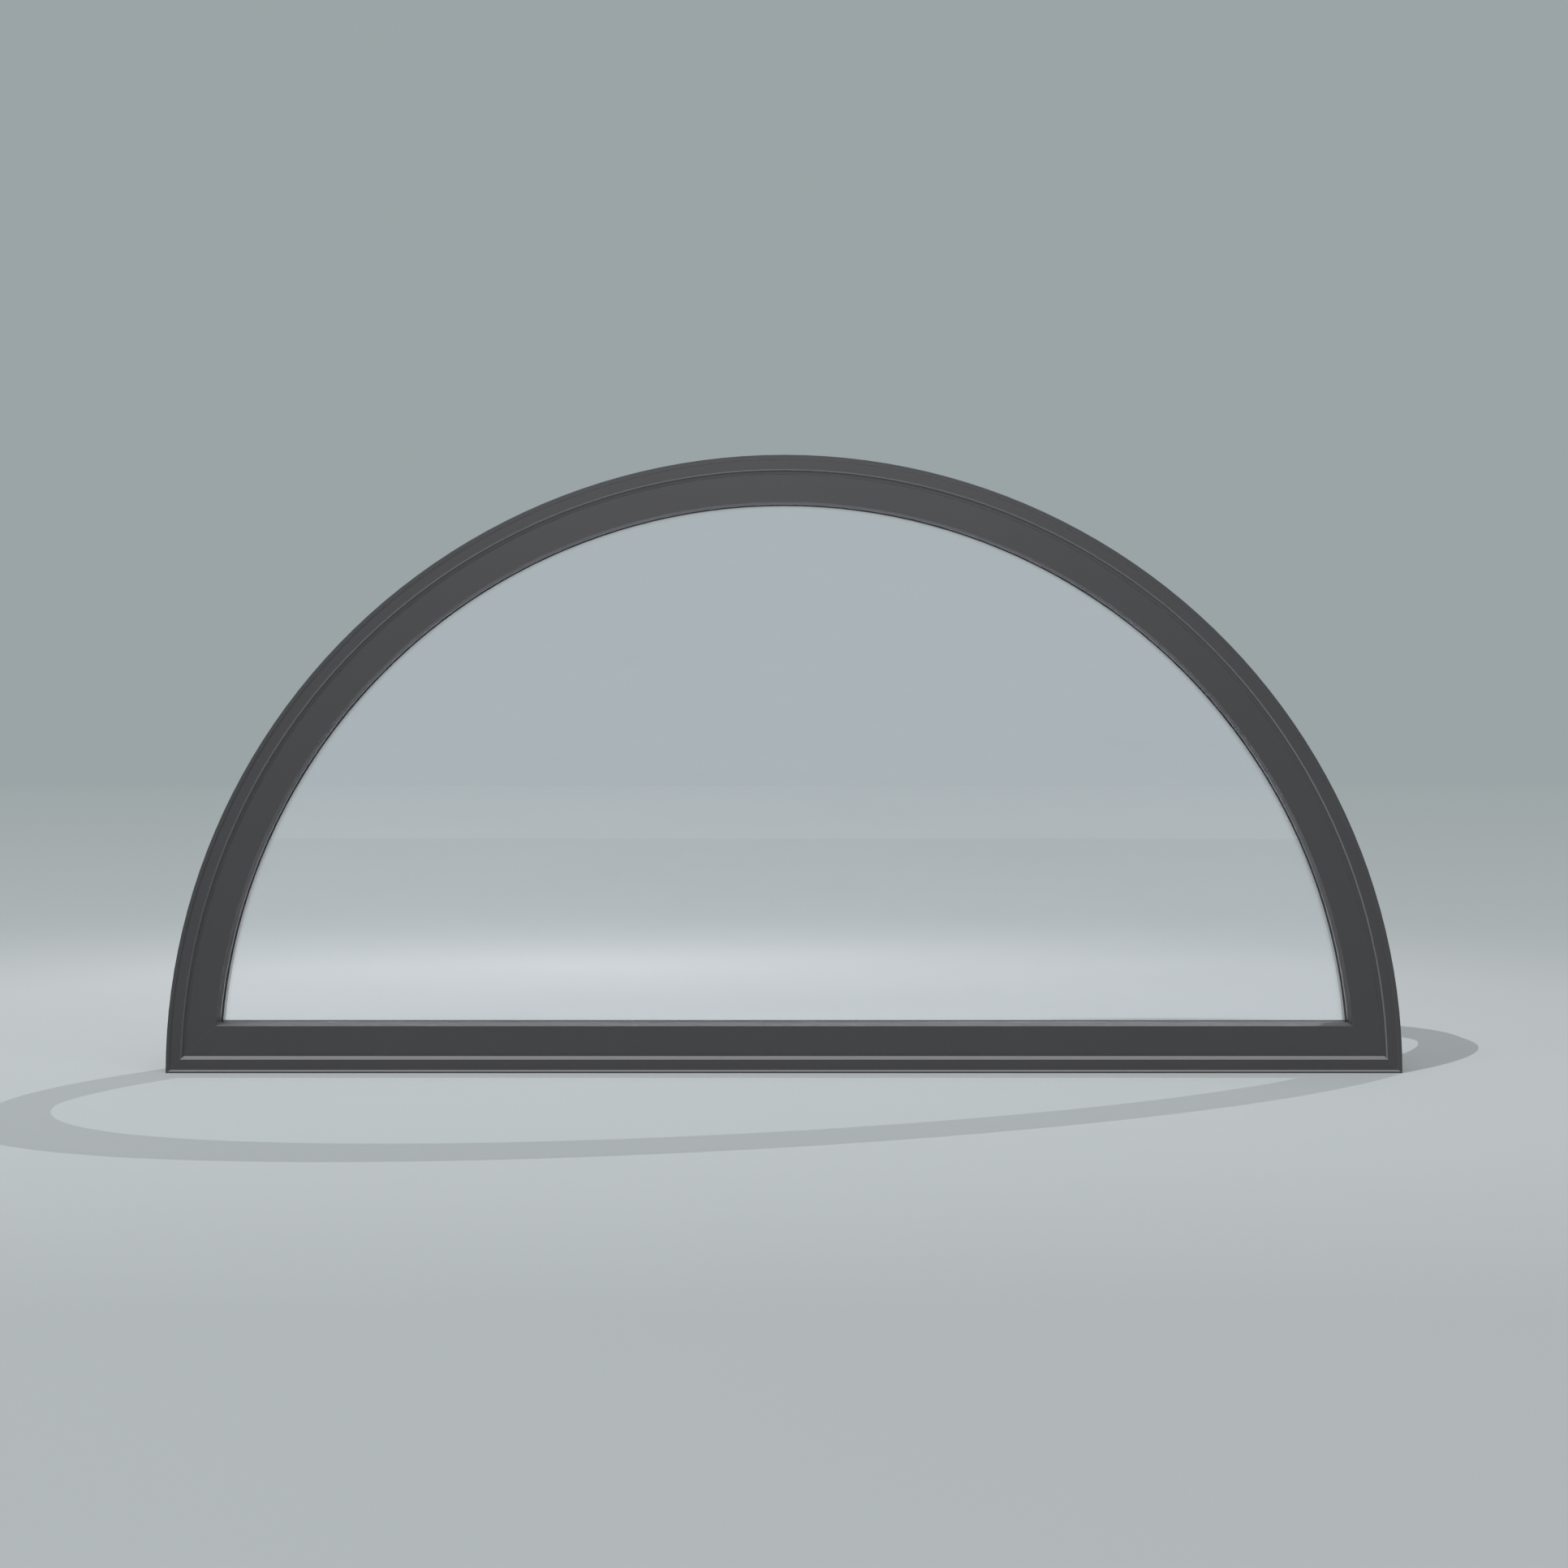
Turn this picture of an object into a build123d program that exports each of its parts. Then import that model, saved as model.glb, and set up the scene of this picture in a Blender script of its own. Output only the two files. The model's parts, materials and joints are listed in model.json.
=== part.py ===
from build123d import *
from math import sqrt
import os

# A fixed half-round window: a bent arch on a straight sill, both in painted aluminium with
# plastic thermal breaks, and inside it a fixed sash that holds one sealed double glazing unit.
# Millimetres, +Z up. The origin is at the middle of the sill's underside, -Y is outdoors.
# A section is drawn as (offset, depth): the offset runs inward from the outside edge, and the
# depth runs from the outdoor face to the room face. The arch is that section turned about the
# springing centre, and the sill is the same kind of section run straight along the base.

# Outside size
WIDTH = 1828.8
DEPTH = 63.5

# Frame, outdoor side
LIP_ARCH = 5.0
LIP_SILL = 2.4
LIP_RUN_ARCH = 1.0
LIP_RUN_SILL = 2.2
LIP_HEIGHT = 1.5
FACE_ARCH = 20.9
FACE_SILL = 19.9
STEP_RUN_ARCH = 1.1
STEP_RUN_SILL = 4.7
STEP_HEIGHT = 4.0
FRAME_WIDTH = 27.9
FRAME_FRONT_DEPTH = 22.0

# Frame, room side
FRAME_BACK_DEPTH = 22.0
ROOM_STEP = 2.0

# Sash
JOINT = 0.4
SASH_FACE = 40.55
RETURN_RUN_ARCH = 0.3
RETURN_RUN_SILL = 3.0
FLANGE = 6.5
SEAL_SPACE = 5.0
SASH_FRONT_DEPTH = 25.0
SASH_BACK_DEPTH = 22.0

# Glazing unit and what it sits in
PANE = 4.0
AIR_SPACE = 8.0
BITE = 12.0
EDGE_GAP = 5.0
FRONT_GASKET = 1.0
ROOM_GASKET = 1.5
GASKET_WIDTH = 8.0
GASKET_SETBACK = 1.0
EDGE_SEAL = 4.0
SPACER_WIDTH = 6.5
BLOCK_LENGTH = 100.0

# Room-side glazing bead, which stands a little further in than the return outdoors
BEAD_DEPTH = 18.5
BEAD_RISE_ARCH = 0.75
BEAD_RISE_SILL = 1.5
BEAD_SPLAY = 1.5
TONGUE_REACH = 2.5
TONGUE_DEPTH = 4.0
TONGUE_SETBACK = 5.0
TONGUE_FIT = 0.25

# Thermal breaks, set back from both edges of the metal bars
BREAK_INSET = 3.5

# Groove for fixing clips round the outside
CLIP_MOUTH = 4.0
CLIP_DEPTH = 4.0
CLIP_SETBACK = 10.0

# Seals between frame and sash
SEAL_DEPTH = 6.0
SEAL_FIT = 0.2

# Places worked out from the sizes
RADIUS = WIDTH / 2
sash_front = LIP_HEIGHT + STEP_HEIGHT
room_face = DEPTH - ROOM_STEP
bead_front = room_face - BEAD_DEPTH
inner_pane_back = bead_front - ROOM_GASKET
air_back = inner_pane_back - PANE
air_front = air_back - AIR_SPACE
outer_pane_front = air_front - PANE
return_back = outer_pane_front - FRONT_GASKET
frame_back_front = DEPTH - FRAME_BACK_DEPTH
sash_front_back = sash_front + SASH_FRONT_DEPTH
sash_back_front = room_face - SASH_BACK_DEPTH
sash_outer = FRAME_WIDTH + JOINT
sash_body = sash_outer + SEAL_SPACE
face_inner = sash_outer + SASH_FACE
return_arch = face_inner + RETURN_RUN_ARCH
return_sill = face_inner + RETURN_RUN_SILL
bead_arch = return_arch + BEAD_RISE_ARCH
bead_sill = return_sill + BEAD_RISE_SILL
glass_arch = bead_arch - BITE
glass_sill = bead_sill - BITE
platform_arch = glass_arch - EDGE_GAP
platform_sill = glass_sill - EDGE_GAP
tongue_front = bead_front + TONGUE_SETBACK
tongue_back = tongue_front + TONGUE_DEPTH


def turned(outline):
    """Half ring whose section has these (offset, depth) points, from springing to springing."""
    points = [(RADIUS - offset, depth - DEPTH / 2) for offset, depth in outline]
    section = make_face(Polyline(*points, close=True))
    return revolve(section, axis=Axis((0, 0, 0), (0, -1, 0)), revolution_arc=180)


def straight(outline):
    """Bar along the base, as long as the window, with the same kind of section."""
    points = [(depth - DEPTH / 2, offset) for offset, depth in outline]
    section = Plane.YZ * make_face(Polyline(*points, close=True))
    return extrude(section, amount=RADIUS, both=True)


def across(outline, front, back):
    """Solid with this outline seen from outdoors, between two depths."""
    return Pos(0, back - DEPTH / 2, 0) * extrude(Plane.XZ * make_face(outline), amount=back - front)


def corner(arch_offset, base_offset):
    """Where an offset of the arch meets an offset of the base, on the right, as (x, z)."""
    return sqrt((RADIUS - arch_offset) ** 2 - base_offset**2), base_offset


def mitre_zone(outer, inner, top):
    """Space below the two mitre cuts, which goes straight up past the inner corners."""
    (x_out, z_out), (x_in, z_in) = outer, inner
    x_low = x_out + (x_out - x_in) / (z_in - z_out) * z_in
    z_low = z_out - z_in
    right = [(x_low, z_low), (x_in, z_in)]
    if top > z_in:
        right.append((x_in, top))
    left = [(-x, z) for x, z in reversed(right)]
    return across(Polyline(*right, *left, close=True), -DEPTH, 2 * DEPTH)


def joined(arch, base, outer, inner):
    """Arch and base cut to meet: mitred on the face, and the arch coped over what rises inside."""
    top = inner[1] + BITE + EDGE_GAP
    base = base & mitre_zone(outer, inner, top)
    arch = arch - mitre_zone(outer, inner, inner[1]) - base
    return arch, base


def half_disc(arch_offset, base_offset, front, back):
    """Plate with a round head and a straight foot, at these offsets from the outside edge."""
    x, z = corner(arch_offset, base_offset)
    head = ThreePointArc((x, z), (0, RADIUS - arch_offset), (-x, z))
    foot = Line((-x, z), (x, z))
    return across([head, foot], front, back)


def box(low, high, front, back):
    """Outline of a rectangular section."""
    return [(low, front), (high, front), (high, back), (low, back)]


def clip_groove():
    """Outline of the groove that takes fixing clips in the outside edge."""
    middle = DEPTH - CLIP_SETBACK
    return box(-CLIP_DEPTH, CLIP_DEPTH, middle - CLIP_MOUTH / 2, middle + CLIP_MOUTH / 2)


def frame_front(make, lip, lip_run, face, step_run):
    """Outdoor bar of the frame: raised lip, flat face, step down to the sash, narrow ledge."""
    outline = [
        (0, 0),
        (lip, 0),
        (lip + lip_run, LIP_HEIGHT),
        (face, LIP_HEIGHT),
        (face + step_run, sash_front),
        (FRAME_WIDTH, sash_front),
        (FRAME_WIDTH, FRAME_FRONT_DEPTH),
        (0, FRAME_FRONT_DEPTH),
    ]
    return make(outline)


def frame_back(make):
    """Room-side bar of the frame, with the clip groove in its outside edge."""
    outline = [
        (0, frame_back_front),
        (FRAME_WIDTH, frame_back_front),
        (FRAME_WIDTH, room_face),
        (FRAME_WIDTH - ROOM_STEP, DEPTH),
        (0, DEPTH),
    ]
    return make(outline) - make(clip_groove())


def sash_front_bar(make, platform, return_end):
    """Outdoor bar of the sash: flange over the seal, flat face, deep return, leg under the glass."""
    outline = [
        (sash_outer, sash_front),
        (face_inner, sash_front),
        (return_end, return_back),
        (platform, return_back),
        (platform, sash_front_back),
        (sash_body, sash_front_back),
        (sash_body, sash_front + FLANGE),
        (sash_outer, sash_front + FLANGE),
    ]
    return make(outline)


def sash_back_bar(make, platform):
    """Room-side bar of the sash, with the groove that the glazing bead snaps into."""
    outline = [
        (sash_body, sash_back_front),
        (platform, sash_back_front),
        (platform, room_face),
        (sash_outer, room_face),
        (sash_outer, room_face - FLANGE),
        (sash_body, room_face - FLANGE),
    ]
    groove_start = platform - TONGUE_REACH - TONGUE_FIT
    groove = box(groove_start, platform + TONGUE_REACH, tongue_front, tongue_back)
    return make(outline) - make(groove)


def insulating_bar(make, low, high, front, back):
    """Plastic bar between an outdoor bar and its room-side bar, set back from their edges."""
    return make(box(low + BREAK_INSET, high - BREAK_INSET, front, back))


def glazing_bead(make, platform, sight):
    """Bead that holds the glass from the room, splayed a little, with its tongue in the sash."""
    tongue_end = platform - TONGUE_REACH
    outline = [
        (platform + TONGUE_FIT, bead_front),
        (sight, bead_front),
        (sight - BEAD_SPLAY, room_face),
        (platform + TONGUE_FIT, room_face),
        (platform + TONGUE_FIT, tongue_back),
        (tongue_end, tongue_back),
        (tongue_end, tongue_front),
        (platform + TONGUE_FIT, tongue_front),
    ]
    return make(outline)


def gasket(make, sight, front, back):
    """Flat rubber strip between the glass and what holds it."""
    end = sight - GASKET_SETBACK
    return make(box(end - GASKET_WIDTH, end, front, back))


def seal(make, front, back):
    """Rubber strip in the space between the frame and the sash."""
    return make(box(FRAME_WIDTH + SEAL_FIT, sash_body - SEAL_FIT, front, back))


def setting_blocks():
    """Two plastic blocks that carry the glazing unit, at the quarter points of the bottom rail."""
    depth = inner_pane_back - outer_pane_front
    place_y = (outer_pane_front + inner_pane_back - DEPTH) / 2
    places = [(side * RADIUS / 2, place_y, glass_sill) for side in (-1, 1)]
    block = Box(BLOCK_LENGTH, depth, EDGE_GAP, align=(Align.CENTER, Align.CENTER, Align.MAX))
    return [Pos(*place) * block for place in places]


def edge_ring(outer_gap, width):
    """Closed ring between the two panes, set in from the glass edge by a gap."""
    outer = half_disc(glass_arch + outer_gap, glass_sill + outer_gap, air_front, air_back)
    inner_gap = outer_gap + width
    inner = half_disc(glass_arch + inner_gap, glass_sill + inner_gap, air_front, air_back)
    return outer - inner


def halves(arch):
    """Left and right quarter rings of an arch, which butt at the crown."""
    right = Box(WIDTH, 2 * DEPTH, 2 * WIDTH, align=(Align.MIN, Align.CENTER, Align.CENTER))
    return {"left": arch - right, "right": arch & right}


def metal_pairs(names, pairs, outer, inner):
    """Nodes of arch and base bars that meet at the same corners, each arch in two quarter rings."""
    arch_name, base_name = names
    parts = {}
    for piece, (arch, base) in pairs.items():
        arch, base = joined(arch, base, outer, inner)
        for side, half in halves(arch).items():
            parts[f"{arch_name}_{side}_{piece}"] = [half]
        parts[f"{base_name}_{piece}"] = [base]
    return parts


def rubber_pairs(names, pairs, outer, inner):
    """Nodes of rubber strips, each in one length round the arch and one along the base."""
    parts = {}
    for piece, (arch, base) in pairs.items():
        arch, base = joined(arch, base, outer, inner)
        parts[f"{piece}_{names[0]}"] = [arch]
        parts[f"{piece}_{names[1]}"] = [base]
    return parts


def frame_parts():
    """Nodes of the frame."""
    span = (0, FRAME_WIDTH, FRAME_FRONT_DEPTH, frame_back_front)
    pairs = {
        "front": (
            frame_front(turned, LIP_ARCH, LIP_RUN_ARCH, FACE_ARCH, STEP_RUN_ARCH),
            frame_front(straight, LIP_SILL, LIP_RUN_SILL, FACE_SILL, STEP_RUN_SILL),
        ),
        "back": (frame_back(turned), frame_back(straight)),
        "break": (insulating_bar(turned, *span), insulating_bar(straight, *span)),
    }
    corners = corner(0, 0), corner(FRAME_WIDTH, FRAME_WIDTH)
    return metal_pairs(("frame_arch", "frame_sill"), pairs, *corners)


def sash_parts():
    """Nodes of the sash, its glazing bead and its gaskets."""
    arch_span = (sash_body, platform_arch, sash_front_back, sash_back_front)
    rail_span = (sash_body, platform_sill, sash_front_back, sash_back_front)
    pairs = {
        "front": (
            sash_front_bar(turned, platform_arch, return_arch),
            sash_front_bar(straight, platform_sill, return_sill),
        ),
        "back": (
            sash_back_bar(turned, platform_arch),
            sash_back_bar(straight, platform_sill),
        ),
        "break": (insulating_bar(turned, *arch_span), insulating_bar(straight, *rail_span)),
    }
    trims = {
        "bead": (
            glazing_bead(turned, platform_arch, bead_arch),
            glazing_bead(straight, platform_sill, bead_sill),
        ),
    }
    gaskets = {
        "outdoor_gasket": (
            gasket(turned, return_arch, return_back, outer_pane_front),
            gasket(straight, return_sill, return_back, outer_pane_front),
        ),
        "room_gasket": (
            gasket(turned, bead_arch, inner_pane_back, bead_front),
            gasket(straight, bead_sill, inner_pane_back, bead_front),
        ),
    }
    corners = corner(sash_outer, sash_outer), corner(face_inner, face_inner)
    return {
        **metal_pairs(("sash_arch", "sash_rail"), pairs, *corners),
        **metal_pairs(("glazing_arch", "glazing_rail"), trims, *corners),
        **rubber_pairs(("arch", "rail"), gaskets, *corners),
    }


def seal_parts():
    """Nodes of the seals between frame and sash."""
    flange_back = sash_front + FLANGE
    room_flange = room_face - FLANGE
    places = {
        "weather_seal": (flange_back, flange_back + SEAL_DEPTH),
        "room_seal": (room_flange - SEAL_DEPTH, room_flange),
    }
    pairs = {name: (seal(turned, *span), seal(straight, *span)) for name, span in places.items()}
    corners = corner(FRAME_WIDTH, FRAME_WIDTH), corner(sash_body, sash_body)
    return rubber_pairs(("arch", "sill"), pairs, *corners)


def glass_parts():
    """Nodes of the sealed glazing unit and the blocks that carry it."""
    return {
        "outer_pane": [half_disc(glass_arch, glass_sill, outer_pane_front, air_front)],
        "inner_pane": [half_disc(glass_arch, glass_sill, air_back, inner_pane_back)],
        "spacer_bar": [edge_ring(EDGE_SEAL, SPACER_WIDTH)],
        "edge_seal": [edge_ring(0, EDGE_SEAL)],
        "setting_blocks": setting_blocks(),
    }


os.makedirs("parts", exist_ok=True)
for node, pieces in {**frame_parts(), **sash_parts(), **seal_parts(), **glass_parts()}.items():
    solids = [solid for piece in pieces for solid in piece.solids()]
    shape = solids[0] if len(solids) == 1 else Compound(children=solids)
    export_step(shape, f"parts/{node}.step")
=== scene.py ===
import json
import math

import bpy
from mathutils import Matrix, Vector


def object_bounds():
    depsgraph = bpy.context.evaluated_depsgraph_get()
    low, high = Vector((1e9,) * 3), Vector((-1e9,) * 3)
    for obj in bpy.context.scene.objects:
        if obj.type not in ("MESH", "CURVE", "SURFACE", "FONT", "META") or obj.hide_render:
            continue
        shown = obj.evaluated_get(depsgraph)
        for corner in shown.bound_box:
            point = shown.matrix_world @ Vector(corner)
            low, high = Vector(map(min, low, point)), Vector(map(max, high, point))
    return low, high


# The looks of a fixed half-round window: satin dark grey powder coat on the frame, the sash and
# the glazing bead, black plastic and rubber between them, and a clear sealed glazing unit. Every
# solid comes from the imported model, so this script only gives finishes to its pieces and sets up
# the studio round them. Metres, +Z up, outdoors is -Y, and the window stands on the floor at Z = 0.

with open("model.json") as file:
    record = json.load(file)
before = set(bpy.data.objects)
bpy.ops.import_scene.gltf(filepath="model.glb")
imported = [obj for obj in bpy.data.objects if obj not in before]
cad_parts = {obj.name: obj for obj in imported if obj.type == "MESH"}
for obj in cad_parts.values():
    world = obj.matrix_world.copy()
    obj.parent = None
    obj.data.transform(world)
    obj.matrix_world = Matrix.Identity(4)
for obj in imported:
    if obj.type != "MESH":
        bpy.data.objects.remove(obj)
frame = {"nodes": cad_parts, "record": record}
cad_low, cad_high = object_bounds()

# Camera, level and straight in front of the outdoor face
CAMERA_DISTANCE = 2.798
CAMERA_HEIGHT = 0.4276
CAMERA_LENS = 43.45
CAMERA_SENSOR = 36.0
CAMERA_CLIP = (0.05, 1000.0)

# Wall and floor. The floor fades into the wall's colour from FLOOR_REACH outwards, goes from one
# tone to another across FLOOR_LEAN, and has a painted pool of light behind the window.
WALL_COLOUR = (0.328, 0.376, 0.386)
REFLECTED_COLOUR = (0.93, 0.95, 1.0)
FLOOR_COLOUR = (0.52, 0.56, 0.57)
FLOOR_DIM = (0.482, 0.517, 0.527)
FLOOR_LEAN = (-1.5, 1.5)
FLOOR_MOTTLE = 0.1
MOTTLE_SCALE = 0.7
FLOOR_PAINTED_LIGHT = (0.70, 0.73, 0.76)
FLOOR_SIZE = 2000.0
FLOOR_REACH = 1.9
FLOOR_FADE = -0.5
FLOOR_ROUGHNESS = 0.9
FLOOR_SPECULAR = 0.1
POOL_MIDDLE = (-0.5, 1.6, 0.0)
POOL_STRETCH = (0.7, 1.0, 1.0)
POOL_RADIUS = 2.2
POOL_FALL = 2.0

# Lamps
KEY_COLOUR = (1.0, 0.985, 0.96)
KEY_ANGLE = math.radians(0.1)
KEY_SETBACK = 3.0
ROUND_COLOUR = (0.96, 0.99, 1.0)
ROUND_STRENGTH = 0.30

# Powder coat: its tones, how far each mark changes them, and how it shines. Its slopes and edges
# carry a painted highlight that stands in for the reflections there.
COAT_COLOUR = (0.0345, 0.033, 0.0345)
COAT_LIGHT = (0.042, 0.040, 0.042)
# Lighter tone of rubbed edges, which is also a painted highlight along them
COAT_WORN_AND_HIGHLIT = (0.15, 0.15, 0.153)
# Pale tone painted on the slopes as a highlight, standing in for the reflections there
COAT_PAINTED_HIGHLIGHT = (0.42, 0.41, 0.42)
COAT_DRIFT = 0.55
COAT_FLECK = 0.22
COAT_WEAR_AND_HIGHLIGHT = 0.45
COAT_DUST = 0.16
COAT_EDGE = 0.0007
COAT_IOR = 1.52
COAT_SHEEN = 0.05
COAT_SHEEN_ROUGHNESS = 0.4
GRAIN_DULLS = 0.05
DRIFT_DULLS = 0.05
DUST_DULLS = 0.5
PEEL_DEPTH = 0.00012
PEEL_STRENGTH = 0.55

# Slopes that count as turned inwards face this point, and get the coat's painted highlight. How
# squarely they do so, as a cosine, goes from where the mask starts to where it is full, and the
# same for their undersides.
OPENING_MIDDLE = (0.0, 0.0, 0.3)
SLOPE_RANGE = (0.2, 0.5)
UNDERSIDE_RANGE = (-0.2, -1.0)

# Plastic, rubber and sealant, each from a darker tone to a lighter one
PLASTIC_TONES = ((0.020, 0.020, 0.021), (0.034, 0.034, 0.035))
RUBBER_TONES = ((0.018, 0.018, 0.018), (0.030, 0.030, 0.030))
SEALANT_TONES = ((0.030, 0.030, 0.032), (0.045, 0.045, 0.047))
BLOCK_TONES = ((0.050, 0.050, 0.055), (0.07, 0.07, 0.075))
MOULDED_DRIFT = 0.6
MOULDED_WEAR = 0.3
MOULDED_DUST = 0.3
MOULDED_EDGE = 0.0005
MOULDED_DULLS = 0.12
MOULDED_RELIEF = 0.6

# Spacer between the panes
SPACER_COLOUR = (0.10, 0.10, 0.105)
SPACER_LIGHTER = 2.2
SPACER_ROUGHNESS = 0.38
SPACER_DULLS = 0.14
SPACER_DEPTH = 0.00006
SPACER_RELIEF = 0.5

# Glass
OUTER_GLASS_COLOUR = (0.965, 0.975, 0.99)
INNER_GLASS_COLOUR = (0.985, 0.99, 0.99)
GLASS_IOR = 1.52
GLASS_SPECULAR = 0.8
FILM_TONE = 0.985
FILM_ROUGHNESS = 0.02
ROLL_SCALE = 2.2
ROLL_DEPTH = 0.0004
ROLL_STRENGTH = 0.25
WIPE_STRETCH = (1.0, 1.0, 6.0)
WIPE_LEAN = math.radians(24)
WIPE_RANGE = (0.45, 0.8)
DROP_RIM = (0.16, 0.10)
DROP_SHARE = 0.35

# Grain, rubbed edges that also carry a painted highlight, and dust, which several finishes share
NOISE_RANGE = (0.3, 0.7)
GRAIN_SHARE = 0.45
WAVES_SHARE = 0.55
BEVEL_SAMPLES = 4
EDGE_TURN = (0.995, 0.85)
EDGE_PATCHES = (0.35, 0.65)
DUST_COLOUR = (0.30, 0.29, 0.27)
DUST_UPWARD = (0.35, 0.95)
DUST_PATCHES = (0.3, 0.75)
SPECK_SCALE = 1500.0
SPECK_RANGE = (0.45, 0.6)
BETWEEN_SPECKS = 0.55


# Node trees


def fill(tree, socket, value):
    """Plugs a socket into this one, or sets it to a plain value."""
    if isinstance(value, bpy.types.NodeSocket):
        tree.links.new(value, socket)
    elif isinstance(value, tuple) and len(value) == 3 and socket.type == "RGBA":
        socket.default_value = (*value, 1.0)
    else:
        socket.default_value = value


def maths(tree, operation, first, second=0.0, clamp=False):
    """One step of arithmetic on two numbers or sockets."""
    node = tree.nodes.new("ShaderNodeMath")
    node.operation = operation
    node.use_clamp = clamp
    fill(tree, node.inputs[0], first)
    fill(tree, node.inputs[1], second)
    return node.outputs[0]


def sum_of(tree, first, second):
    """Two numbers or sockets, added."""
    return maths(tree, "ADD", first, second)


def product_of(tree, first, second):
    """Two numbers or sockets, multiplied."""
    return maths(tree, "MULTIPLY", first, second)


def spread(tree, value, low, high, to_low=0.0, to_high=1.0):
    """Carries a number from one range to another, and stops it at both ends."""
    node = tree.nodes.new("ShaderNodeMapRange")
    node.clamp = True
    for name, part in (
        ("Value", value),
        ("From Min", low),
        ("From Max", high),
        ("To Min", to_low),
        ("To Max", to_high),
    ):
        fill(tree, node.inputs[name], part)
    return node.outputs["Result"]


def blended(tree, factor, first, second):
    """Colour between two others."""
    node = tree.nodes.new("ShaderNodeMix")
    node.data_type = "RGBA"
    fill(tree, node.inputs["Factor"], factor)
    fill(tree, node.inputs["A"], first)
    fill(tree, node.inputs["B"], second)
    return node.outputs["Result"]


def vector_maths(tree, operation, first, second=(0.0, 0.0, 0.0), result="Vector"):
    """One step of arithmetic on two vectors or sockets."""
    node = tree.nodes.new("ShaderNodeVectorMath")
    node.operation = operation
    fill(tree, node.inputs[0], first)
    fill(tree, node.inputs[1], second)
    return node.outputs[result]


def object_place(tree):
    """Place on the piece, in metres of the shared frame."""
    return tree.nodes.new("ShaderNodeTexCoord").outputs["Object"]


def facing(tree):
    """Way that the surface faces."""
    return tree.nodes.new("ShaderNodeNewGeometry").outputs["Normal"]


def part_of(tree, vector, axis):
    """One of the three numbers of a vector."""
    split = tree.nodes.new("ShaderNodeSeparateXYZ")
    tree.links.new(vector, split.inputs[0])
    return split.outputs[axis]


def noise(tree, place, scale, detail=2.0, roughness=0.5):
    """Smooth random field, from 0 to 1, with about this many lumps to the metre."""
    node = tree.nodes.new("ShaderNodeTexNoise")
    fill(tree, node.inputs["Vector"], place)
    fill(tree, node.inputs["Scale"], scale)
    node.inputs["Detail"].default_value = detail
    node.inputs["Roughness"].default_value = roughness
    return node.outputs["Fac"]


def new_group(name, inputs, outputs):
    """Shader group with number sockets for its inputs, and the sockets named for its outputs."""
    tree = bpy.data.node_groups.new(name, "ShaderNodeTree")
    for label, default in inputs.items():
        socket = tree.interface.new_socket(label, in_out="INPUT", socket_type="NodeSocketFloat")
        socket.default_value = default
    for label in outputs:
        tree.interface.new_socket(label, in_out="OUTPUT", socket_type="NodeSocketFloat")
    start = tree.nodes.new("NodeGroupInput")
    end = tree.nodes.new("NodeGroupOutput")
    return tree, start.outputs, end.inputs


def use_group(tree, group, **values):
    """Places an effect in a material and returns its outputs."""
    node = tree.nodes.new("ShaderNodeGroup")
    node.node_tree = group
    for name, value in values.items():
        fill(tree, node.inputs[name.replace("_", " ")], value)
    return node.outputs


# Effects that several finishes share


def speckle_group():
    """Grain of a sprayed, moulded or cast skin: its tone, its height and its slow drift."""
    inputs = {"Grain": 900.0, "Waves": 120.0, "Drift": 3.0}
    tree, given, out = new_group("Skin grain", inputs, ("Tone", "Height", "Slow drift"))
    place = object_place(tree)
    grain = noise(tree, place, given["Grain"], detail=3.0, roughness=0.6)
    waves = noise(tree, place, given["Waves"], detail=1.0)
    drift = noise(tree, place, given["Drift"], detail=3.0, roughness=0.55)
    tree.links.new(spread(tree, grain, *NOISE_RANGE), out["Tone"])
    fine = product_of(tree, grain, GRAIN_SHARE)
    height = sum_of(tree, fine, product_of(tree, waves, WAVES_SHARE))
    tree.links.new(height, out["Height"])
    tree.links.new(spread(tree, drift, *NOISE_RANGE), out["Slow drift"])
    return tree


def edge_group():
    """Rubbed edges with a painted highlight along them, broken up so that it isn't an even line."""
    inputs = {"Width": 0.0008, "Breakup": 60.0}
    tree, given, out = new_group("Rubbed and highlit edges", inputs, ("Mask",))
    round_off = tree.nodes.new("ShaderNodeBevel")
    round_off.samples = BEVEL_SAMPLES
    tree.links.new(given["Width"], round_off.inputs["Radius"])
    rounded = round_off.outputs["Normal"]
    alike = vector_maths(tree, "DOT_PRODUCT", rounded, facing(tree), result="Value")
    edge = spread(tree, alike, *EDGE_TURN)
    patches = noise(tree, object_place(tree), given["Breakup"], detail=4.0)
    patches = spread(tree, patches, *EDGE_PATCHES)
    tree.links.new(product_of(tree, edge, patches), out["Mask"])
    return tree


def dust_group():
    """Dust that has settled on what faces up, thicker in some patches than in others."""
    inputs = {"Patches": 9.0, "Amount": 1.0}
    tree, given, out = new_group("Settled dust", inputs, ("Mask",))
    upward = spread(tree, part_of(tree, facing(tree), "Z"), *DUST_UPWARD)
    place = object_place(tree)
    patches = noise(tree, place, given["Patches"], detail=5.0, roughness=0.65)
    patches = spread(tree, patches, *DUST_PATCHES)
    specks = spread(tree, noise(tree, place, SPECK_SCALE, detail=1.0), *SPECK_RANGE)
    specks = spread(tree, specks, 0.0, 1.0, BETWEEN_SPECKS, 1.0)
    settled = product_of(tree, product_of(tree, upward, patches), specks)
    tree.links.new(product_of(tree, settled, given["Amount"]), out["Mask"])
    return tree


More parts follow.
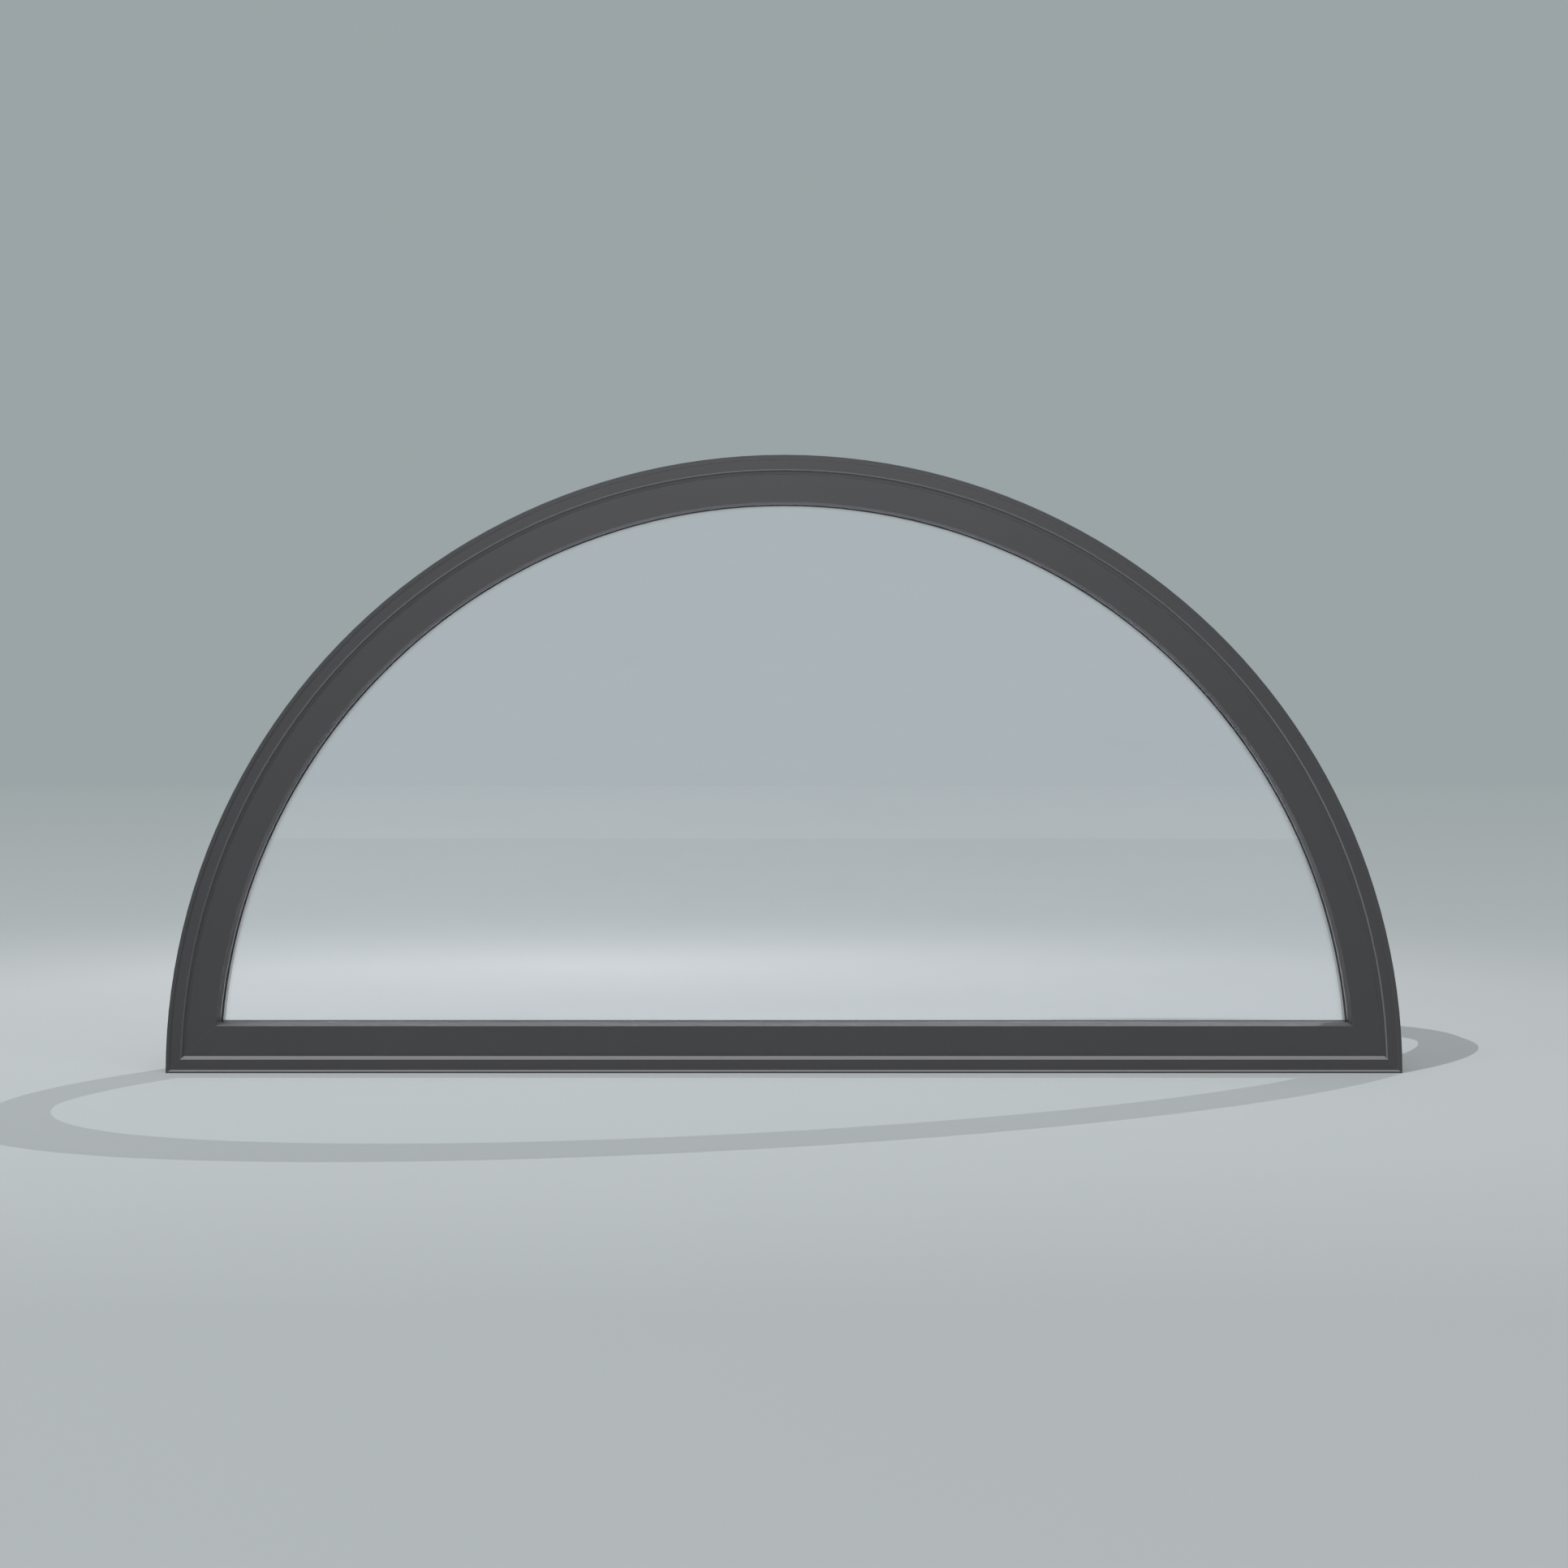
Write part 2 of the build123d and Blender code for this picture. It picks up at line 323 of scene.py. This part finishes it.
def opening_group():
    """Slopes and returns that are turned to the middle of the opening, and their undersides."""
    inputs = {"Start": SLOPE_RANGE[0], "Full": SLOPE_RANGE[1], "Upward": 0.0}
    tree, given, out = new_group("Turned inwards", inputs, ("Mask", "Underside"))
    inward = vector_maths(tree, "SUBTRACT", OPENING_MIDDLE, object_place(tree))
    inward = vector_maths(tree, "MULTIPLY", inward, (1.0, 0.0, 1.0))
    inward = vector_maths(tree, "NORMALIZE", inward)
    normal = facing(tree)
    height = part_of(tree, normal, "Z")
    turned = vector_maths(tree, "DOT_PRODUCT", inward, normal, result="Value")
    turned = maths(tree, "MAXIMUM", turned, product_of(tree, height, given["Upward"]))
    mask = spread(tree, turned, given["Start"], given["Full"])
    tree.links.new(mask, out["Mask"])
    under = spread(tree, height, *UNDERSIDE_RANGE)
    tree.links.new(product_of(tree, mask, under), out["Underside"])
    return tree


def wiped_group():
    """Faint arcs and drops that are left on a pane after it is wiped and rained on."""
    inputs = {"Streaks": 5.0, "Drops": 55.0}
    tree, given, out = new_group("Wiped glass", inputs, ("Film", "Height"))
    place = object_place(tree)
    stretch = tree.nodes.new("ShaderNodeMapping")
    stretch.inputs["Scale"].default_value = WIPE_STRETCH
    stretch.inputs["Rotation"].default_value = (0.0, WIPE_LEAN, 0.0)
    tree.links.new(place, stretch.inputs["Vector"])
    along = stretch.outputs["Vector"]
    streaks = noise(tree, along, given["Streaks"], detail=5.0, roughness=0.6)
    drops = tree.nodes.new("ShaderNodeTexVoronoi")
    tree.links.new(place, drops.inputs["Vector"])
    tree.links.new(given["Drops"], drops.inputs["Scale"])
    spots = spread(tree, drops.outputs["Distance"], *DROP_RIM)
    spots = product_of(tree, spots, DROP_SHARE)
    film = sum_of(tree, spread(tree, streaks, *WIPE_RANGE), spots)
    tree.links.new(maths(tree, "MINIMUM", film, 1.0), out["Film"])
    tree.links.new(noise(tree, place, ROLL_SCALE, detail=0.0), out["Height"])
    return tree


skin_grain = speckle_group()
rubbed_and_highlit_edges = edge_group()
settled_dust = dust_group()
wiped_glass = wiped_group()
turned_inwards = opening_group()


# Materials


def new_material(name):
    """Material with one Principled shader, its tree and that shader."""
    material = bpy.data.materials.new(name)
    material.use_nodes = True
    tree = material.node_tree
    tree.nodes.clear()
    shader = tree.nodes.new("ShaderNodeBsdfPrincipled")
    end = tree.nodes.new("ShaderNodeOutputMaterial")
    tree.links.new(shader.outputs["BSDF"], end.inputs["Surface"])
    return material, tree, shader


def mix_in(tree, factor, first, second):
    """Sends a mix of two shaders to the output of their material."""
    mix = tree.nodes.new("ShaderNodeMixShader")
    end = next(node for node in tree.nodes if node.type == "OUTPUT_MATERIAL")
    tree.links.new(factor, mix.inputs["Fac"])
    tree.links.new(first, mix.inputs[1])
    tree.links.new(second, mix.inputs[2])
    tree.links.new(mix.outputs["Shader"], end.inputs["Surface"])


def bump(tree, shader, height, depth, strength):
    """Fine relief of this depth, in metres, where a height goes from 0 to 1."""
    node = tree.nodes.new("ShaderNodeBump")
    fill(tree, node.inputs["Height"], height)
    node.inputs["Distance"].default_value = depth
    node.inputs["Strength"].default_value = strength
    tree.links.new(node.outputs["Normal"], shader.inputs["Normal"])


def powder_coat(
    name, slope_highlight, under=0.0, upward=0.0, steep=SLOPE_RANGE, satin=0.36, dulled=0.25
):
    """Satin powder coat with orange peel, a painted highlight on its slopes, and rubbed edges that
    also carry a painted highlight.

    The second argument and under say how pale the slopes are painted as a highlight, and how much
    paler their undersides. upward adds faces that look up to the slopes, and steep tells where a
    slope starts and is full. satin is the coat's roughness, and dulled what the slopes add to it.
    """
    material, tree, shader = new_material(name)
    skin = use_group(tree, skin_grain, Grain=1100.0, Waves=230.0, Drift=2.2)
    edges = use_group(tree, rubbed_and_highlit_edges, Width=COAT_EDGE, Breakup=45.0)["Mask"]
    dust = use_group(tree, settled_dust, Patches=7.0, Amount=COAT_DUST)["Mask"]
    slopes = use_group(tree, turned_inwards, Start=steep[0], Full=steep[1], Upward=upward)

    drift = product_of(tree, skin["Slow drift"], COAT_DRIFT)
    colour = blended(tree, drift, COAT_COLOUR, COAT_LIGHT)
    colour = blended(tree, product_of(tree, skin["Tone"], COAT_FLECK), colour, COAT_LIGHT)
    # Slopes and their undersides are painted paler, as a highlight
    highlighted = product_of(tree, slopes["Mask"], slope_highlight)
    highlighted = sum_of(tree, highlighted, product_of(tree, slopes["Underside"], under))
    colour = blended(tree, highlighted, colour, COAT_PAINTED_HIGHLIGHT)
    # Rubbed edges, painted lighter also as a highlight along them
    colour = blended(tree, product_of(tree, edges, COAT_WEAR_AND_HIGHLIGHT), colour, COAT_WORN_AND_HIGHLIT)
    colour = blended(tree, dust, colour, DUST_COLOUR)
    fill(tree, shader.inputs["Base Color"], colour)

    rough = sum_of(tree, satin, product_of(tree, skin["Tone"], GRAIN_DULLS))
    rough = sum_of(tree, rough, product_of(tree, skin["Slow drift"], DRIFT_DULLS))
    rough = sum_of(tree, rough, product_of(tree, dust, DUST_DULLS))
    rough = sum_of(tree, rough, product_of(tree, slopes["Mask"], dulled))
    fill(tree, shader.inputs["Roughness"], rough)
    shader.inputs["IOR"].default_value = COAT_IOR
    shader.inputs["Sheen Weight"].default_value = COAT_SHEEN
    shader.inputs["Sheen Roughness"].default_value = COAT_SHEEN_ROUGHNESS
    bump(tree, shader, skin["Height"], PEEL_DEPTH, PEEL_STRENGTH)
    return material


def moulded(name, tones, roughness, grain, depth):
    """Plain moulded plastic or rubber with a fine skin, and dust where it lies open."""
    material, tree, shader = new_material(name)
    skin = use_group(tree, skin_grain, Grain=grain, Waves=grain / 6, Drift=6.0)
    dust = use_group(tree, settled_dust, Patches=14.0, Amount=MOULDED_DUST)["Mask"]
    edges = use_group(tree, rubbed_and_highlit_edges, Width=MOULDED_EDGE, Breakup=80.0)["Mask"]
    dark, light = tones
    colour = blended(tree, product_of(tree, skin["Slow drift"], MOULDED_DRIFT), dark, light)
    colour = blended(tree, product_of(tree, edges, MOULDED_WEAR), colour, light)
    colour = blended(tree, dust, colour, DUST_COLOUR)
    fill(tree, shader.inputs["Base Color"], colour)
    rough = sum_of(tree, roughness, product_of(tree, skin["Tone"], MOULDED_DULLS))
    fill(tree, shader.inputs["Roughness"], rough)
    bump(tree, shader, skin["Height"], depth, MOULDED_RELIEF)
    return material


def spacer_metal():
    """Dark coated metal of the spacer, with a slow drift between two tones."""
    material, tree, shader = new_material("spacer_metal")
    skin = use_group(tree, skin_grain, Grain=1600.0, Waves=300.0, Drift=4.0)
    lighter = tuple(part * SPACER_LIGHTER for part in SPACER_COLOUR)
    colour = blended(tree, skin["Slow drift"], SPACER_COLOUR, lighter)
    fill(tree, shader.inputs["Base Color"], colour)
    shader.inputs["Metallic"].default_value = 1.0
    rough = sum_of(tree, SPACER_ROUGHNESS, product_of(tree, skin["Tone"], SPACER_DULLS))
    fill(tree, shader.inputs["Roughness"], rough)
    bump(tree, shader, skin["Height"], SPACER_DEPTH, SPACER_RELIEF)
    return material


def glass(name, colour, streaks):
    """Clear float glass with a faint tint and a thin film of wiping marks.

    Lamps shine through it, so rays for shadows and for soft light meet a plain clear sheet.
    """
    material, tree, shader = new_material(name)
    marks = use_group(tree, wiped_glass, Streaks=streaks, Drops=45.0)
    filmed = tuple(part * FILM_TONE for part in colour)
    fill(tree, shader.inputs["Base Color"], blended(tree, marks["Film"], colour, filmed))
    rough = product_of(tree, marks["Film"], FILM_ROUGHNESS)
    fill(tree, shader.inputs["Roughness"], rough)
    shader.inputs["IOR"].default_value = GLASS_IOR
    shader.inputs["Metallic"].default_value = 0.0
    shader.inputs["Transmission Weight"].default_value = 1.0
    shader.inputs["Specular IOR Level"].default_value = GLASS_SPECULAR
    bump(tree, shader, marks["Height"], ROLL_DEPTH, ROLL_STRENGTH)
    clear = tree.nodes.new("ShaderNodeBsdfTransparent")
    clear.inputs["Color"].default_value = (*colour, 1.0)
    rays = tree.nodes.new("ShaderNodeLightPath").outputs
    from_lamp = maths(tree, "MAXIMUM", rays["Is Shadow Ray"], rays["Is Diffuse Ray"])
    mix_in(tree, from_lamp, shader.outputs["BSDF"], clear.outputs["BSDF"])
    return material


# Coat of each bar, by the first two words of its nodes. The bars differ in how pale a highlight is
# painted on their slopes, and the bead is smoother than the rest.
coats = {
    "frame_arch": powder_coat("frame_arch_coat", 0.38, under=0.6, steep=(0.76, 0.9)),
    "frame_sill": powder_coat("frame_sill_coat", 0.4, upward=1.0),
    "sash_arch": powder_coat("sash_arch_coat", 0.02, under=0.32),
    "sash_rail": powder_coat("sash_rail_coat", 0.12, upward=1.0),
    "glazing_arch": powder_coat("arch_bead_coat", 0.85, under=0.15, satin=0.18, dulled=0.0),
    "glazing_rail": powder_coat("rail_bead_coat", 0.5, upward=1.0, satin=0.18, dulled=0.0),
}

# Finish of each other slot of the record
finishes = {
    "break_plastic": moulded(
        "break_plastic", PLASTIC_TONES, roughness=0.55, grain=700.0, depth=0.00008
    ),
    "gasket_rubber": moulded(
        "gasket_rubber", RUBBER_TONES, roughness=0.62, grain=900.0, depth=0.00006
    ),
    "sealant": moulded("sealant", SEALANT_TONES, roughness=0.5, grain=300.0, depth=0.0003),
    "block_plastic": moulded(
        "block_plastic", BLOCK_TONES, roughness=0.45, grain=500.0, depth=0.0001
    ),
    "spacer_metal": spacer_metal(),
    "tinted_glass": glass("tinted_glass", OUTER_GLASS_COLOUR, streaks=5.0),
    "clear_glass": glass("clear_glass", INNER_GLASS_COLOUR, streaks=3.5),
}


def dress_nodes():
    """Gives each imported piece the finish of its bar, or the one of its slot in the record."""
    for part in frame["record"]["subparts"]:
        piece = frame["nodes"][part["node"]]
        if part["material_slot"] == "painted_aluminium":
            bar = "_".join(part["node"].split("_")[:2])
            finish = coats[bar]
        else:
            finish = finishes[part["material_slot"]]
        for slot in piece.material_slots:
            slot.material = finish


# The studio


def seen_in_panes(tree):
    """Tells rays that a face inside the glazing has thrown back, which show the pale studio."""
    rays = tree.nodes.new("ShaderNodeLightPath").outputs
    thrown_back = maths(tree, "GREATER_THAN", rays["Glossy Depth"], 0.5)
    return product_of(tree, rays["Is Transmission Ray"], thrown_back)


def floor_colour(tree, place):
    """Pale tone that leans across the floor and is mottled a little, with a painted pool of light
    on it.
    """
    mottle = noise(tree, place, MOTTLE_SCALE, detail=2.0)
    mottle = spread(tree, mottle, *NOISE_RANGE, -FLOOR_MOTTLE, FLOOR_MOTTLE)
    lean = spread(tree, part_of(tree, place, "X"), *FLOOR_LEAN)
    dim = maths(tree, "ADD", lean, mottle, clamp=True)
    plain = blended(tree, dim, FLOOR_COLOUR, FLOOR_DIM)
    # Painted pool of light on the floor behind the window
    from_pool = vector_maths(tree, "SUBTRACT", place, POOL_MIDDLE)
    from_pool = vector_maths(tree, "MULTIPLY", from_pool, POOL_STRETCH)
    from_pool = vector_maths(tree, "LENGTH", from_pool, result="Value")
    pool = spread(tree, from_pool, 0.0, POOL_RADIUS, 1.0, 0.0)
    return blended(tree, maths(tree, "POWER", pool, POOL_FALL), plain, FLOOR_PAINTED_LIGHT)


def floor_material():
    """Pale floor that fades into the wall colour far away, where the camera sees the horizon."""
    material, tree, shader = new_material("studio_floor")
    place = object_place(tree)
    fill(tree, shader.inputs["Base Color"], floor_colour(tree, place))
    shader.inputs["Roughness"].default_value = FLOOR_ROUGHNESS
    shader.inputs["Specular IOR Level"].default_value = FLOOR_SPECULAR
    mirrored = seen_in_panes(tree)
    far = tree.nodes.new("ShaderNodeEmission")
    fill(tree, far.inputs["Color"], blended(tree, mirrored, WALL_COLOUR, REFLECTED_COLOUR))
    away = vector_maths(tree, "DISTANCE", place, (0.0, 0.0, 0.0), result="Value")
    away = maths(tree, "DIVIDE", away, FLOOR_REACH)
    fade = maths(tree, "SUBTRACT", 1.0, maths(tree, "POWER", away, FLOOR_FADE), clamp=True)
    fade = maths(tree, "MAXIMUM", fade, mirrored)
    mix_in(tree, fade, shader.outputs["BSDF"], far.outputs["Emission"])
    return material


def lay_floor():
    """One very large floor under the window."""
    half = FLOOR_SIZE / 2
    corners = [(-half, -half, 0), (half, -half, 0), (half, half, 0), (-half, half, 0)]
    mesh = bpy.data.meshes.new("studio_floor")
    mesh.from_pydata(corners, [], [(0, 1, 2, 3)])
    mesh.materials.append(floor_material())
    floor = bpy.data.objects.new("studio_floor", mesh)
    bpy.context.scene.collection.objects.link(floor)


def paint_background():
    """Wall colour behind the window, and plain soft light from all round."""
    world = bpy.data.worlds.new("studio")
    bpy.context.scene.world = world
    world.use_nodes = True
    tree = world.node_tree
    tree.nodes.clear()
    rays = tree.nodes.new("ShaderNodeLightPath").outputs
    seen = sum_of(tree, rays["Is Camera Ray"], rays["Is Glossy Ray"])
    seen = maths(tree, "ADD", seen, rays["Is Transmission Ray"], clamp=True)
    shown = tree.nodes.new("ShaderNodeBackground")
    colour = blended(tree, seen_in_panes(tree), WALL_COLOUR, REFLECTED_COLOUR)
    fill(tree, shown.inputs["Color"], colour)
    shown.inputs["Strength"].default_value = 1.0
    soft = tree.nodes.new("ShaderNodeBackground")
    soft.inputs["Color"].default_value = (*ROUND_COLOUR, 1.0)
    soft.inputs["Strength"].default_value = ROUND_STRENGTH
    mix = tree.nodes.new("ShaderNodeMixShader")
    end = tree.nodes.new("ShaderNodeOutputWorld")
    tree.links.new(seen, mix.inputs["Fac"])
    tree.links.new(soft.outputs["Background"], mix.inputs[1])
    tree.links.new(shown.outputs["Background"], mix.inputs[2])
    tree.links.new(mix.outputs["Shader"], end.inputs["Surface"])


def hang(name, lamp, place, direction):
    """Puts a lamp at a place, with its light along a direction."""
    thing = bpy.data.objects.new(name, lamp)
    thing.location = place
    thing.rotation_mode = "QUATERNION"
    thing.rotation_quaternion = direction.to_track_quat("-Z", "Y")
    bpy.context.scene.collection.objects.link(thing)
    return thing


def hang_key(name, direction, strength):
    """Lamp far away whose light travels in this direction, with narrow shadows."""
    lamp = bpy.data.lights.new(name, "SUN")
    lamp.energy = strength
    lamp.angle = KEY_ANGLE
    lamp.color = KEY_COLOUR
    hang(name, lamp, -KEY_SETBACK * Vector(direction), Vector(direction))


def hang_softbox(name, place, size, power, colour):
    """Large soft lamp that faces the window squarely, and isn't seen through its glass."""
    lamp = bpy.data.lights.new(name, "AREA")
    lamp.shape = "RECTANGLE"
    lamp.size, lamp.size_y = size
    lamp.energy = power
    lamp.color = colour
    thing = hang(name, lamp, place, Vector((0.0, 1.0, 0.0)))
    thing.visible_transmission = False


def light_studio():
    """Two keys for the two crossing shadows, and two soft lamps that show the glass and coat."""
    hang_key("key_from_front_left", (0.75, 0.65, -1.0), 1.5)
    hang_key("key_from_behind_right", (-0.567, -0.72, -1.0), 0.87)
    hang_softbox("soft_front", (0, -12.0, 4.3), (15.4, 8.6), 280.0, (0.94, 0.96, 1.0))
    hang_softbox("soft_top", (0, -1.3, 1.9), (3.4, 0.6), 26.0, (1.0, 0.99, 1.0))


def set_camera():
    """Level camera, square to the window."""
    data = bpy.data.cameras.new("camera")
    data.lens = CAMERA_LENS
    data.sensor_width = CAMERA_SENSOR
    data.clip_start, data.clip_end = CAMERA_CLIP
    camera = bpy.data.objects.new("camera", data)
    camera.location = (0, cad_low[1] - CAMERA_DISTANCE, CAMERA_HEIGHT)
    camera.rotation_euler = (math.radians(90), 0, 0)
    bpy.context.scene.collection.objects.link(camera)
    bpy.context.scene.camera = camera


dress_nodes()
lay_floor()
paint_background()
light_studio()
set_camera()
bpy.context.scene.view_settings.view_transform = "Standard"
